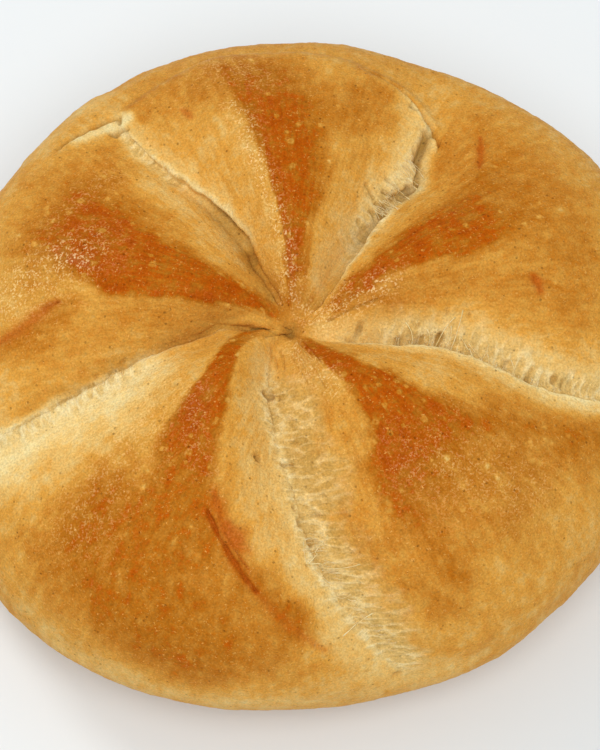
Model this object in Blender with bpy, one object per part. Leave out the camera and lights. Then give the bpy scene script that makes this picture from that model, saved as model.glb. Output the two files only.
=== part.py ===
"""Kaiser roll: a round wheat roll folded by hand into five lobes and baked on a flat stone.

One solid. The origin is under the middle of the roll, on the surface that it rests on, +Z is up, and the back
lobe points to +Y. Every length is in metres and every azimuth in degrees, anticlockwise from +X.

The form is a turned dome that is pushed in at the hub and along five curved seams. A place on it has two
coordinates: its distance from the hub, measured over the surface, and its lobe coordinate, which is a whole
number on each seam and runs from one seam to the next across a lobe.
"""

import math
from collections import namedtuple

import bmesh
import bpy
import numpy as np

# Overall size
MEAN_RADIUS = 0.0525
HEIGHT_AT_CENTRE = 0.045
WIDEST_HEIGHT = 0.018
BASE_SHARE = 0.70
CROWN_EXPONENT = 2.45

# How far the outline leaves a circle: (order, cosine share, sine share)
OUTLINE_WAVES = ((2, 0.033, 0.019), (3, 0.010, -0.010), (4, 0.001, 0.010))

# Where the dome's axis stands, so that the outline is centred on the origin
DOME_AXIS = (-0.00035, -0.00053)

# The pit in which the five seams meet, from the dome's axis
HUB_OFFSET = (-0.0007, -0.0029)
HUB_DEPTH = 0.0070
HUB_REACH = 0.0090

# A seam's azimuth at these distances from the hub
SEAM_STATIONS = (0.005, 0.015, 0.030, 0.050, 0.065)
SEAM_HUB_REACH = 0.009

Seam = namedtuple("Seam", "azimuths depth reach")
SEAMS = (
    Seam(azimuths=(55, 56, 53, 60.5, 64), depth=0.0074, reach=0.058),
    Seam(azimuths=(118, 121, 127.5, 128.5, 128.5), depth=0.0064, reach=0.060),
    Seam(azimuths=(188, 191, 198.5, 201.5, 205), depth=0.0064, reach=0.072),
    Seam(azimuths=(236, 256, 269.5, 279, 287), depth=0.0062, reach=0.078),
    Seam(azimuths=(331, 349, 348.5, 348.5, 349.5), depth=0.0070, reach=0.073),
)

# The back lobe ends in a tongue that lies on the side of the roll. These are its reach from the hub, how much
# shorter it is at its first seam and over what share of its width, how far the side lies under it, how broad
# its edge is, how far down the side the step is felt, and over what share of its width the edge runs out
TONGUE_REACH = 0.0455
TONGUE_CUT = 0.0075
TONGUE_CUT_SHARE = 0.14
TONGUE_DROP = 0.0012
TONGUE_EDGE = 0.0035
TONGUE_SIDE = 0.021
TONGUE_RUN_OUT = 0.05

# A lobe's crest, as a share of the way across it at the hub and at the rim, and how each flank falls from the
# crest to its seam: 1 is a flat flank that meets the crest in a crease, and more is a round, steep edge
Lobe = namedtuple("Lobe", "crest_at_hub crest_at_rim first_flank second_flank")
LOBES = (
    Lobe(crest_at_hub=0.76, crest_at_rim=0.68, first_flank=2.5, second_flank=1.1),
    Lobe(crest_at_hub=0.84, crest_at_rim=0.40, first_flank=1.5, second_flank=1.1),
    Lobe(crest_at_hub=0.55, crest_at_rim=0.85, first_flank=1.7, second_flank=1.15),
    Lobe(crest_at_hub=0.57, crest_at_rim=0.33, first_flank=1.15, second_flank=2.3),
    Lobe(crest_at_hub=0.48, crest_at_rim=0.51, first_flank=1.1, second_flank=1.5),
)

# Facets; the segments, all lobes together, are a multiple of four, as the unit sphere's quarters are
FACETS_PER_LOBE = 24
RINGS = 40
PROFILE_SAMPLES = 400

CRUST_COLOUR = (0.56, 0.25, 0.06, 1.0)
CRUST_ROUGHNESS = 0.5


def clear_scene():
    for obj in list(bpy.data.objects):
        bpy.data.objects.remove(obj, do_unlink=True)


def dome_profile():
    """The turned dome's profile, from the top to the base's edge: distance, radius, height and normal."""
    swing = np.linspace(0.0, math.pi / 2, PROFILE_SAMPLES)
    power = 2.0 / CROWN_EXPONENT
    crown_radius = MEAN_RADIUS * np.sin(swing) ** power
    crown_height = WIDEST_HEIGHT + (HEIGHT_AT_CENTRE - WIDEST_HEIGHT) * np.cos(swing) ** power
    side_radius = MEAN_RADIUS * (BASE_SHARE + (1.0 - BASE_SHARE) * np.cos(swing))
    side_height = WIDEST_HEIGHT * (1.0 - np.sin(swing))
    radius = np.concatenate([crown_radius, side_radius[1:]])
    height = np.maximum(np.concatenate([crown_height, side_height[1:]]), 0.0)
    distance = np.concatenate([[0.0], np.cumsum(np.hypot(np.diff(radius), np.diff(height)))])
    along_radius = np.gradient(radius, distance)
    along_height = np.gradient(height, distance)
    steepness = np.hypot(along_radius, along_height)
    return distance, radius, height, -along_height / steepness, along_radius / steepness


def seam_azimuth(seam, distance):
    """The cubic through the seam's stations, held still beyond the last of them."""
    held = np.clip(distance, 0.0, SEAM_STATIONS[-1])
    azimuth = np.zeros_like(held)
    for station, value in zip(SEAM_STATIONS, seam.azimuths):
        weight = np.ones_like(held)
        for other in SEAM_STATIONS:
            if other != station:
                weight *= (held - other) / (station - other)
        azimuth += value * weight
    return azimuth


def azimuth_at(lobe_coordinate, distance):
    """The azimuth, in radians, of a lobe coordinate at a distance from the hub."""
    first = np.floor(lobe_coordinate).astype(int) % len(SEAMS)
    share = lobe_coordinate % 1.0
    edges = np.stack([seam_azimuth(seam, distance) for seam in SEAMS])
    edges = np.concatenate([edges, edges[:1] + 360.0])
    column = np.arange(len(distance))
    low, high = edges[first, column], edges[first + 1, column]
    return np.radians(low + (high - low) * share)


def outline_radius_share(azimuth):
    """How far out the outline lies at an azimuth, as a share of the mean radius."""
    share = np.ones_like(azimuth)
    for order, cosine, sine in OUTLINE_WAVES:
        share += cosine * np.cos(order * azimuth) + sine * np.sin(order * azimuth)
    return share


def seam_depth(seam, distance):
    """How deep the valley along a seam is: nothing at the hub, most part way out, nothing past its reach."""
    leaving_hub = 1.0 - np.exp(-((distance / SEAM_HUB_REACH) ** 2))
    fading_out = np.clip(1.0 - (distance / seam.reach) ** 4, 0.0, 1.0) ** 2
    return seam.depth * leaving_hub * fading_out

def smooth_step(value):
    """Rises from 0 to 1 as the value does, with no kink."""
    held = np.clip(value, 0.0, 1.0)
    return held * held * (3.0 - 2.0 * held)

def tongue_fall(lobe_coordinate, distance):
    """How far the side of the roll lies under the tongue in which the back lobe ends."""
    share = np.clip(lobe_coordinate % len(LOBES), 0.0, 1.0)
    edge = TONGUE_REACH - TONGUE_CUT * np.exp(-share / TONGUE_CUT_SHARE)
    past_edge = smooth_step((distance - edge) / TONGUE_EDGE)
    on_crown = 1.0 - smooth_step((distance - edge) / TONGUE_SIDE)
    across = smooth_step(share / TONGUE_RUN_OUT) * smooth_step((1.0 - share) / TONGUE_RUN_OUT)
    return TONGUE_DROP * past_edge * on_crown * across

def crest_share(lobe, distance):
    """How far across a lobe its crest lies."""
    reached = np.clip(distance / MEAN_RADIUS, 0.0, 1.0)
    return lobe.crest_at_hub + (lobe.crest_at_rim - lobe.crest_at_hub) * reached

def fall(lobe_coordinate, distance):
    """How far the surface lies under the dome."""
    depth = HUB_DEPTH * np.exp(-((distance / HUB_REACH) ** 2))
    first = np.floor(lobe_coordinate).astype(int) % len(LOBES)
    share = lobe_coordinate % 1.0
    for index, lobe in enumerate(LOBES):
        crest = crest_share(lobe, distance)
        to_first = np.clip(1.0 - share / crest, 0.0, 1.0) ** lobe.first_flank
        to_second = np.clip(1.0 - (1.0 - share) / (1.0 - crest), 0.0, 1.0) ** lobe.second_flank
        valleys = seam_depth(SEAMS[index], distance) * to_first
        valleys += seam_depth(SEAMS[(index + 1) % len(SEAMS)], distance) * to_second
        depth += np.where(first == index, valleys, 0.0)
    return depth + tongue_fall(lobe_coordinate, distance)

def roll_surface(lobe_coordinate, distance):
    """The point of the surface at each pair of coordinates."""
    profile, radius, height, normal_out, normal_up = dome_profile()
    azimuth = azimuth_at(lobe_coordinate, distance)
    inward = fall(lobe_coordinate, distance)
    out = np.interp(distance, profile, radius) * outline_radius_share(azimuth)
    out -= inward * np.interp(distance, profile, normal_out)
    up = np.interp(distance, profile, height) - inward * np.interp(distance, profile, normal_up)
    near_hub = 1.0 - np.clip(distance / MEAN_RADIUS, 0.0, 1.0)
    x = DOME_AXIS[0] + HUB_OFFSET[0] * near_hub + out * np.cos(azimuth)
    y = DOME_AXIS[1] + HUB_OFFSET[1] * near_hub + out * np.sin(azimuth)
    return np.stack([x, y, np.maximum(up, 0.0)], axis=1)


def segment_lobe_coordinate(segment, distance):
    """The lobe coordinate of a segment: one segment runs along each seam and one along each crest."""
    lobe_index = segment // FACETS_PER_LOBE
    progress = (segment % FACETS_PER_LOBE) / FACETS_PER_LOBE
    coordinate = np.zeros_like(progress)
    for index, lobe in enumerate(LOBES):
        crest = crest_share(lobe, distance)
        rising = 2.0 * progress * crest
        falling = crest + (2.0 * progress - 1.0) * (1.0 - crest)
        share = np.where(progress < 0.5, rising, falling)
        coordinate += np.where(lobe_index == index, index + share, 0.0)
    return coordinate

def shape_sphere(mesh):
    """Moves a unit sphere's rings and segments onto the roll, its last ring to the edge of the flat base."""
    around = len(SEAMS) * FACETS_PER_LOBE
    bmesh.ops.create_uvsphere(mesh, u_segments=around, v_segments=RINGS, radius=1.0)
    places = np.array([vert.co for vert in mesh.verts])
    segment = np.round(np.arctan2(places[:, 1], places[:, 0]) / math.tau * around) % around
    ring = np.round(np.arccos(np.clip(places[:, 2], -1.0, 1.0)) / math.pi * RINGS)
    rim_distance = dome_profile()[0][-1]
    distance = np.clip(ring / (RINGS - 1), 0.0, 1.0) * rim_distance
    shaped = roll_surface(segment_lobe_coordinate(segment, distance), distance)
    shaped[ring == RINGS] = (*DOME_AXIS, 0.0)
    for vert, place in zip(mesh.verts, shaped):
        vert.co = place

def crust_material():
    material = bpy.data.materials.new("crust")
    material.use_nodes = True
    shader = material.node_tree.nodes["Principled BSDF"]
    shader.inputs["Base Color"].default_value = CRUST_COLOUR
    shader.inputs["Roughness"].default_value = CRUST_ROUGHNESS
    shader.inputs["Metallic"].default_value = 0.0
    return material


def make_roll(collection):
    mesh = bmesh.new()
    shape_sphere(mesh)
    bmesh.ops.recalc_face_normals(mesh, faces=mesh.faces)
    data = bpy.data.meshes.new("roll")
    mesh.to_mesh(data)
    mesh.free()
    data.shade_smooth()
    data.materials.append(crust_material())
    collection.objects.link(bpy.data.objects.new("roll", data))


def main():
    clear_scene()
    parts = bpy.data.collections.new("kaiser_roll")
    bpy.context.scene.collection.children.link(parts)
    make_roll(parts)


main()
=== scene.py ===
"""Kaiser roll: its crust, its torn crumb and the stage that it stands on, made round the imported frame.

The crust is one dense mesh. Its form is the frame's own: a turned dome that is pushed in at the hub and
along five curved seams. A place on it has two coordinates: its distance from the hub, measured over the
surface, and its lobe coordinate, which is a whole number on each seam and runs from one seam to the next
across a lobe. The seams' cracks and lips, the torn crumb, wrinkles, blisters and scars are worked out from
those coordinates, and so is how far each place is baked, which the material reads. Every length is in
metres, but the tables are written in millimetres.
"""

import math
from collections import namedtuple

import bpy
import numpy as np
from bpy.props import FloatProperty, FloatVectorProperty, PointerProperty
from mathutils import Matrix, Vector


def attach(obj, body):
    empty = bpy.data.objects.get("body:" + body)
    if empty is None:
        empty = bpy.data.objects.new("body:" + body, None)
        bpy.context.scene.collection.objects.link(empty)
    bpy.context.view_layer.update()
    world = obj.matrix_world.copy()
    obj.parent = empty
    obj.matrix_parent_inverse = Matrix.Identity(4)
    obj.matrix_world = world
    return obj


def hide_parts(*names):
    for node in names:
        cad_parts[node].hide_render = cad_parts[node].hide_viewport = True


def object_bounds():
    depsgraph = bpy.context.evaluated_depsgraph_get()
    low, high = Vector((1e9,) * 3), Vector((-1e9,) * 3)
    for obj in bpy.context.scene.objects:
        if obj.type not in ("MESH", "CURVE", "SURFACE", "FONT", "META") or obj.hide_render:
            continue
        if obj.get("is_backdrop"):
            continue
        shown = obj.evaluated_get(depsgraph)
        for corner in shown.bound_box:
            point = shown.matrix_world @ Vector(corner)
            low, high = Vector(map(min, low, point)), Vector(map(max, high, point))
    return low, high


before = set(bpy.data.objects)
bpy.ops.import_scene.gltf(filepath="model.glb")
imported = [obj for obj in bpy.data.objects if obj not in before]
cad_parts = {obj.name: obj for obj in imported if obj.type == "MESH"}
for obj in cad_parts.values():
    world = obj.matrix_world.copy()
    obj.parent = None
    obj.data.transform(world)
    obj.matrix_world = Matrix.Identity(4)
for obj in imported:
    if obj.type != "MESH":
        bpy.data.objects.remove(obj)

bl_info = {
    "name": "Kaiser roll",
    "version": (1, 0, 0),
    "blender": (4, 5, 0),
    "location": "3D View > Sidebar > Kaiser roll",
    "description": "Makes a hand-folded kaiser roll with a baked crust and torn seams",
    "category": "Add Mesh",
}

CAD_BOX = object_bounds()
MM = 0.001

# The tables' columns that stay as they are written. The others are turned to metres: they hold lengths in
# millimetres, or places, each of which is a lobe coordinate and a distance from the hub in millimetres.
PLAIN_COLUMNS = {
    "azimuths", "inner_lip", "outer_lip", "shade", "soft_shade", "pale_level", "drift", "edges", "level",
    "gloss", "wrinkles", "coordinate", "count", "redness",
}


def in_metres(value):
    """A length, a place or several places, turned from millimetres to metres."""
    if not isinstance(value, tuple):
        return value * MM
    if isinstance(value[0], tuple):
        return tuple(in_metres(place) for place in value)
    coordinate, distance = value
    return coordinate, distance * MM


def table(kind, rows):
    """The rows of a table as named tuples."""
    made = []
    for row in rows:
        values = dict(zip(kind._fields, row))
        for column in values.keys() - PLAIN_COLUMNS:
            values[column] = in_metres(values[column])
        made.append(kind(**values))
    return made


# The dome, as in the frame
MEAN_RADIUS = 52.5 * MM
HEIGHT_AT_CENTRE = 45.0 * MM
WIDEST_HEIGHT = 18.0 * MM
BASE_SHARE = 0.70
CROWN_EXPONENT = 2.45
OUTLINE_WAVES = ((2, 0.033, 0.019), (3, 0.010, -0.010), (4, 0.001, 0.010))
DOME_AXIS = (-0.35 * MM, -0.53 * MM)
PROFILE_SAMPLES = 400

# The frame's crests are sharp: here they are rounded off over this far
CREST_ROUNDING = 2.4 * MM

# The pit in which the five seams meet
HUB_OFFSET = (-0.7 * MM, -2.9 * MM)
HUB_DEPTH = 7.0 * MM
HUB_REACH = 9.0 * MM

# A seam's azimuth in degrees at these distances from the hub. The seams are in the order of the lobe
# coordinate: the back lobe's right and left seams, then the left, front and right ones.
SEAM_STATIONS = (5 * MM, 15 * MM, 30 * MM, 50 * MM, 65 * MM)
SEAM_HUB_REACH = 9.0 * MM

Seam = namedtuple("Seam", "azimuths depth reach")
SEAMS = table(Seam, (
    ((55, 56, 53, 60.5, 64), 7.4, 58),
    ((118, 121, 127.5, 128.5, 128.5), 6.4, 60),
    ((188, 191, 198.5, 201.5, 205), 6.4, 72),
    ((236, 256, 269.5, 279, 287), 6.2, 78),
    ((331, 349, 348.5, 348.5, 349.5), 7.0, 73),
))
LOBE_ANGLE = math.tau / len(SEAMS)

# The tongue in which the back lobe ends
TONGUE_REACH = 45.5 * MM
TONGUE_CUT = 7.5 * MM
TONGUE_CUT_SHARE = 0.14
TONGUE_DROP = 1.2 * MM
TONGUE_EDGE = 3.5 * MM
TONGUE_SIDE = 21.0 * MM
TONGUE_RUN_OUT = 0.05

# Where a lobe's crest lies across it, at the hub and at the rim, and how hollow its two flanks are
Lobe = namedtuple("Lobe", "crest_at_hub crest_at_rim first_flank second_flank")
LOBES = (
    Lobe(0.76, 0.68, 2.5, 1.1),
    Lobe(0.84, 0.40, 1.5, 1.1),
    Lobe(0.55, 0.85, 1.7, 1.15),
    Lobe(0.57, 0.33, 1.15, 2.3),
    Lobe(0.48, 0.51, 1.1, 1.5),
)

# How each seam has torn, in the order of the seams. Up to the turn, the lip is on the side of the next lobe
# (1) or of the one before (-1), and past it on the outer lip's side. It lies over a groove, and the surface
# dips under it. The shade is painted shade in the groove, and the soft shade a wider painted shadow under
# the lip, as wide as the soft width. The widths of crumb and of paler crust are measured from the seam,
# before it and after it.
# The drift is how far the crack strays from the valley's middle at the drift stations, in millimetres.
DRIFT_STATIONS = tuple(distance * MM for distance in (0, 5, 10, 15, 20, 25, 30, 35, 40, 50, 60))
TEAR_COLUMNS = {
    "inner_lip": (-1, -1, 1, -1, -1),
    "outer_lip": (1, -1, 1, -1, -1),
    "turn": (25, 26, 26, 26, 26),
    "groove": (0.7, 0.8, 0.45, 0.0, 0.3),
    "groove_start": (2, 3, 5, 5, 6),
    "groove_end": (40, 28, 46, 50, 50),
    "shade": (0.50, 0.75, 0.45, 0.0, 0.15),
    "soft_shade": (0.60, 0.80, 0.34, 0.24, 0.22),
    "soft_width": (1.2, 1.5, 2.2, 1.6, 1.2),
    "lip": (0.30, 0.25, 0.30, 0.02, 0.30),
    "dip": (0.8, 0.7, 0.5, 0.3, 0.6),
    "crumb_before": (1.2, 0.8, 0.5, 1.6, 0.5),
    "crumb_after": (3.0, 1.6, 3.4, 7.5, 4.5),
    "crumb_start": (9, 24, 18, 6, 8),
    "crumb_end": (38, 50, 62, 69, 62),
    "pale_before": (2.2, 3.0, 1.2, 6.0, 3.4),
    "pale_after": (5.5, 2.0, 11.0, 4.4, 7.0),
    "pale_level": (0.12, 0.26, 0.05, 0.20, 0.15),
    "pale_start": (6, 12, 14, 3, 3),
    "pale_end": (46, 54, 68, 70, 66),
    "drift": (
        (0, -1.1, -1.3, -1.2, -0.4, 0.5, 0.2, 1.4, 3.3, 3.5, 3.5),
        (0, 0.1, 0.2, -0.5, -0.7, -0.7, -0.3, 0.2, 0.5, 0, 0),
        (0, 0, -0.4, 0.4, 0.4, 0.2, 0.2, 0, 0, 0, 0),
        (0, 0.1, -0.2, -0.2, 0.1, 0.5, 0, -0.3, -0.5, -0.2, 0.2),
        (0, 0.2, -0.3, -0.9, -0.8, -1.0, -1.2, -1.7, -1.6, -1.2, -0.5),
    ),
}
Tear = namedtuple("Tear", TEAR_COLUMNS)
TEARS = table(Tear, zip(*TEAR_COLUMNS.values()))

# The darkest stripe of each lobe: the lobe coordinates of its first and its second edge at some distances
# from the hub in millimetres, how soft the two are, how slowly it sets in, where it ends and how far it is
# baked
Stripe = namedtuple("Stripe", "edges first_softness second_softness rise end level")
STRIPES = table(Stripe, (
    (((2, 0.42, 0.84), (8, 0.41, 0.70), (13, 0.39, 0.65), (20, 0.36, 0.68), (26, 0.38, 0.67),
      (32, 0.45, 0.67), (40, 0.46, 0.70)), 1.6, 0.5, 4, 50, 0.97),
    (((3, 1.22, 1.68), (8, 1.38, 1.76), (12, 1.44, 1.78), (16, 1.42, 1.78), (20, 1.39, 1.75),
      (26, 1.33, 1.70), (31, 1.28, 1.62), (38, 1.22, 1.50)), 1.3, 0.7, 6, 48, 1.06),
    (((6, 2.10, 2.40), (10, 2.27, 2.52), (13, 2.39, 2.63), (16, 2.43, 2.68), (20, 2.43, 2.69),
      (25, 2.42, 2.68), (30, 2.44, 2.68), (36, 2.44, 2.68)), 0.6, 0.7, 11, 43, 0.97),
    (((3, 3.56, 3.88), (8, 3.53, 3.76), (13, 3.49, 3.70), (20, 3.42, 3.69), (26, 3.34, 3.70),
      (32, 3.28, 3.76), (38, 3.26, 3.80)), 0.6, 1.0, 4, 43, 1.02),
    (((4, 4.48, 4.68), (10, 4.46, 4.69), (20, 4.45, 4.76), (25, 4.45, 4.76), (30, 4.47, 4.79),
      (34, 4.52, 4.82)), 0.8, 1.2, 11, 43, 0.99),
))
STRIPE_START = 1 * MM
STRIPE_FADE = 20 * MM

# Patches that are baked more or less than the skin round them: their two ends, half width, soft edge and
# how far they are baked
Patch = namedtuple("Patch", "start end width softness level")
PATCHES = table(Patch, (
    ((0.34, 31), (0.55, 38), 4.5, 5.0, 0.66),
    ((0.55, 38), (0.85, 45), 4.0, 4.0, 0.62),
    ((0.80, 44), (0.92, 49), 2.5, 3.0, 0.52),
    ((0.32, 13), (0.30, 28), 1.4, 4.0, 0.42),
    ((1.28, 24), (1.15, 40), 2.2, 3.5, 0.64),
    ((1.15, 40), (1.28, 46), 3.0, 3.0, 0.56),
    ((1.30, 36), (1.52, 38), 4.0, 5.0, 0.70),
    ((1.82, 10), (1.80, 38), 3.0, 4.0, 0.54),
    ((1.72, 33), (1.80, 42), 1.8, 2.0, 0.74),
    ((2.44, 40), (2.40, 46), 7.0, 6.0, 0.86),
    ((2.60, 38), (2.62, 48), 7.0, 6.0, 0.82),
    ((2.35, 53), (2.70, 54), 5.5, 6.0, 0.64),
    ((2.76, 41), (2.88, 50), 2.2, 2.5, 0.78),
    ((3.44, 24), (3.40, 42), 4.0, 4.0, 0.68),
    ((3.34, 28), (3.31, 48), 1.8, 2.8, 0.86),
    ((3.79, 31), (3.83, 45), 1.3, 2.4, 0.76),
    ((3.20, 40), (3.22, 52), 2.6, 3.0, 0.62),
    ((3.45, 41), (3.75, 42), 6.0, 5.0, 0.60),
    ((3.84, 42), (3.86, 52), 3.5, 4.0, 0.72),
    ((4.36, 9), (4.34, 24), 2.0, 3.5, 0.64),
    ((4.32, 37), (4.80, 40), 6.5, 6.0, 0.62),
    ((4.70, 26), (4.80, 38), 1.8, 3.0, 0.70),
    ((4.92, 34), (4.92, 44), 2.6, 3.0, 0.60),
    ((0.32, 36), (0.24, 42), 3.5, 3.5, 0.66),
    ((0.15, 7), (0.14, 17), 1.0, 1.6, 0.24),
    ((1.35, 3), (1.42, 7), 1.4, 1.4, 0.66),
    ((1.14, 13), (1.09, 32), 1.8, 2.4, 0.28),
    ((3.30, 14), (3.29, 24), 1.6, 2.0, 0.50),
    ((2.80, 8), (2.84, 38), 1.8, 2.6, 0.30),
    ((4.13, 5), (4.16, 15), 1.4, 1.6, 0.20),
    ((4.90, 12), (4.93, 22), 0.8, 1.6, 0.30),
    ((4.30, 13), (4.30, 26), 1.6, 2.4, 0.60),
    ((2.45, 46), (2.60, 56), 7.0, 5.0, 0.80),
    ((2.30, 66), (2.90, 68), 4.0, 5.0, 0.26),
    ((1.00, 54), (1.18, 55), 2.0, 5.0, 0.22),
))

# The same, where they run over the seams. The first and the third are painted shade: beside the crack near
# the hub on the back lobe's left seam, and over the torn crumb in the front seam's valley.
SEAM_PATCHES = table(Patch, (
    ((1.05, 5), (1.03, 13), 0.8, 1.0, 0.64),
    ((1.98, 18), (1.93, 40), 1.2, 2.4, 0.50),
    ((3.12, 22), (3.15, 44), 2.2, 2.2, 0.56),
    ((1.12, 47.4), (0.99, 45.2), 1.2, 1.0, 0.08),
))

# Glossy places, where the skin was drawn tight: their two ends, half width, gloss, which also sets the
# glints painted into the colour, and how wrinkled they are
Gloss = namedtuple("Gloss", "start end width gloss wrinkles")
GLOSSES = table(Gloss, (
    ((0.69, 7), (0.69, 34), 1.4, 1.0, 1.0),
    ((0.80, 4), (0.69, 7), 1.0, 0.8, 1.0),
    ((3.40, 4), (3.40, 14), 1.6, 1.0, 1.0),
    ((4.40, 3), (4.46, 13), 1.8, 0.9, 1.0),
    ((4.70, 3), (4.72, 9), 1.4, 0.5, 0.6),
    ((1.52, 32), (1.64, 41), 4.2, 0.9, 0.25),
    ((1.17, 37), (1.42, 38), 2.5, 0.3, 0.2),
    ((2.44, 19), (2.67, 28), 2.2, 0.30, 0.3),
    ((2.30, 22), (2.34, 44), 5.0, 0.35, 0.2),
    ((3.50, 31), (3.62, 42), 5.5, 0.32, 0.2),
    ((0.60, 40), (0.70, 46), 4.0, 0.35, 0.3),
))

# Where the roll has risen a little more than its plain form, how far that spreads and how high it rises
Swell = namedtuple("Swell", "coordinate distance spread rise")
SWELLS = table(Swell, (
    (0.95, 50, 20, 0.8),
    (0.45, 53, 10, 0.4),
    (0.25, 52, 10, 0.6),
    (1.75, 58, 16, 0.6),
    (2.45, 66, 20, 1.2),
    (3.20, 68, 16, 0.7),
))

# Big pores: where they lie, half length across the seam, half width and depth
Pore = namedtuple("Pore", "coordinate distance length width depth")
PORES = table(Pore, (
    (4.105, 9.0, 1.0, 0.50, 0.8),
    (3.965, 13.4, 0.5, 0.35, 0.5),
    (3.985, 14.8, 0.7, 0.50, 0.9),
    (4.000, 17.6, 0.5, 0.55, 0.6),
    (4.025, 20.4, 0.9, 0.55, 1.0),
    (4.170, 20.8, 0.7, 0.30, 0.4),
    (3.975, 24.4, 0.5, 0.60, 0.7),
    (4.090, 17.0, 0.4, 0.30, 0.4),
    (4.160, 24.0, 0.4, 0.30, 0.4),
    (4.005, 31.0, 0.5, 0.50, 0.6),
    (3.985, 35.0, 0.6, 0.55, 0.9),
    (4.010, 39.0, 0.5, 0.60, 0.7),
    (2.980, 12.7, 0.8, 0.60, 0.9),
    (2.872, 24.0, 0.5, 0.70, 0.9),
    (3.006, 24.2, 0.7, 0.40, 0.7),
    (2.984, 31.4, 0.3, 0.60, 0.5),
    (3.046, 33.0, 0.8, 0.40, 0.6),
    (2.986, 34.0, 0.4, 0.70, 0.6),
    (2.998, 37.5, 0.4, 0.80, 0.6),
    (2.989, 65.1, 0.5, 0.45, 0.8),
    (1.030, 44.0, 0.5, 0.60, 0.9),
    (1.060, 47.8, 0.6, 0.50, 0.9),
    (1.110, 48.8, 0.6, 0.45, 0.8),
    (1.985, 25.0, 0.4, 0.45, 0.5),
    (1.985, 29.5, 0.4, 0.40, 0.5),
    (0.117, 41.0, 0.8, 0.45, 0.8),
    (0.144, 42.9, 0.7, 0.40, 0.7),
    (0.178, 43.8, 0.6, 0.40, 0.7),
    (0.217, 44.9, 0.6, 0.35, 0.6),
    (0.006, 28.9, 0.5, 0.45, 0.9),
))
PORE_RIM_SHARE = 0.2

# Creases, slits and folds through some places: half width, depth (negative for a ridge), and how dark the
# shade painted inside is
Crease = namedtuple("Crease", "stations width depth shade")
CREASES = table(Crease, (
    (((0.035, 33.2), (0.040, 35.0), (0.045, 38.6)), 0.75, 1.6, 1.0),
    (((0.050, 39.5), (0.090, 41.5)), 0.35, 0.6, 0.5),
    (((0.150, 24.2), (0.078, 23.4)), 0.22, 0.5, 0.7),
    (((0.070, 25.2), (0.000, 26.8)), 0.22, 0.6, 0.8),
    (((0.060, 23.0), (0.000, 24.0)), 0.22, 0.5, 0.7),
    (((0.090, 27.2), (0.020, 27.4)), 0.20, 0.5, 0.6),
    (((0.060, 21.4), (0.010, 22.2)), 0.20, 0.4, 0.5),
    (((2.061, 7.1), (2.000, 5.8), (1.989, 4.5), (2.206, 3.2), (2.672, 2.1)), 0.22, 0.5, 0.8),
    (((2.400, 4.2), (2.528, 2.6), (3.022, 0.8)), 0.35, 0.4, 0.5),
    (((1.917, 9.5), (1.861, 7.7), (1.750, 5.6), (1.589, 3.4)), 0.35, 0.25, 0.2),
    (((2.000, 10.5), (1.930, 8.0), (1.880, 5.8), (1.960, 3.8)), 0.70, -0.45, 0.0),
    (((4.378, 4.5), (4.378, 6.9), (4.361, 8.7), (4.339, 11.1)), 0.20, 0.3, 0.5),
    (((2.900, 5.0), (3.022, 6.1), (3.078, 7.7)), 0.16, 0.3, 0.4),
    (((3.089, 4.8), (3.156, 6.3), (3.156, 8.2)), 0.16, 0.3, 0.4),
    (((1.167, 48.9), (1.128, 48.6), (1.083, 48.1), (1.022, 47.6)), 0.42, 1.1, 1.0),
    (((1.010, 47.4), (0.985, 46.6), (0.995, 45.6)), 0.35, 0.9, 0.9),
    (((1.040, 44.6), (1.010, 44.2), (0.990, 43.2)), 0.30, 0.7, 0.8),
))

# Fine glossy wrinkles of drawn skin
WRINKLES = table(Crease, (
    (((4.706, 1.8), (4.778, 4.0), (4.756, 6.3)), 0.22, -0.35, 0.0),
    (((4.500, 2.6), (4.600, 4.2), (4.600, 7.0)), 0.22, -0.40, 0.0),
    (((4.860, 3.0), (4.880, 5.0), (4.860, 7.2)), 0.20, -0.32, 0.0),
    (((4.420, 4.6), (4.480, 6.0), (4.500, 8.6)), 0.18, -0.32, 0.0),
    (((4.680, 5.0), (4.690, 7.0), (4.680, 9.6)), 0.18, -0.32, 0.0),
    (((3.478, 3.4), (3.467, 6.6), (3.428, 10.1), (3.383, 13.5)), 0.20, -0.45, 0.0),
    (((3.639, 3.4), (3.539, 6.9), (3.478, 10.1)), 0.20, -0.40, 0.0),
    (((3.383, 5.0), (3.378, 7.9), (3.356, 11.1)), 0.20, -0.40, 0.0),
    (((3.300, 6.0), (3.320, 9.0), (3.310, 13.0)), 0.18, -0.32, 0.0),
))

# Strands of crumb stretched across the seams: their two ends, how far they stand off, half their thickness
Strand = namedtuple("Strand", "start end stand_off thickness")
STRANDS = table(Strand, (
    ((3.980, 16.8), (4.122, 15.2), 0.20, 0.060),
    ((3.985, 19.2), (4.072, 18.4), 0.20, 0.050),
    ((3.985, 19.6), (4.050, 19.4), 0.15, 0.040),
    ((3.985, 20.0), (4.144, 22.0), 0.20, 0.055),
    ((3.985, 21.6), (4.100, 21.6), 0.15, 0.045),
    ((3.985, 22.4), (4.180, 23.0), 0.20, 0.055),
    ((3.975, 25.8), (4.050, 23.4), 0.20, 0.055),
    ((3.975, 27.6), (4.028, 24.8), 0.20, 0.050),
    ((3.970, 28.4), (4.050, 27.6), 0.15, 0.040),
    ((3.965, 33.0), (4.020, 31.6), 0.15, 0.045),
    ((3.965, 36.6), (4.010, 36.8), 0.15, 0.045),
    ((2.965, 41.0), (3.060, 36.5), 0.15, 0.050),
    ((2.965, 41.0), (3.110, 42.0), 0.15, 0.050),
    ((2.960, 41.2), (2.975, 37.2), 0.12, 0.045),
    ((2.960, 41.2), (3.000, 45.0), 0.12, 0.045),
    ((2.955, 54.0), (3.060, 51.0), 0.12, 0.050),
))
STRAND_SIDES = 6
STRAND_RINGS = 14
STRAND_ROOT_DEPTH = 0.10 * MM
STRAND_BOW = 0.09
STRAND_SEED = 81

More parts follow.
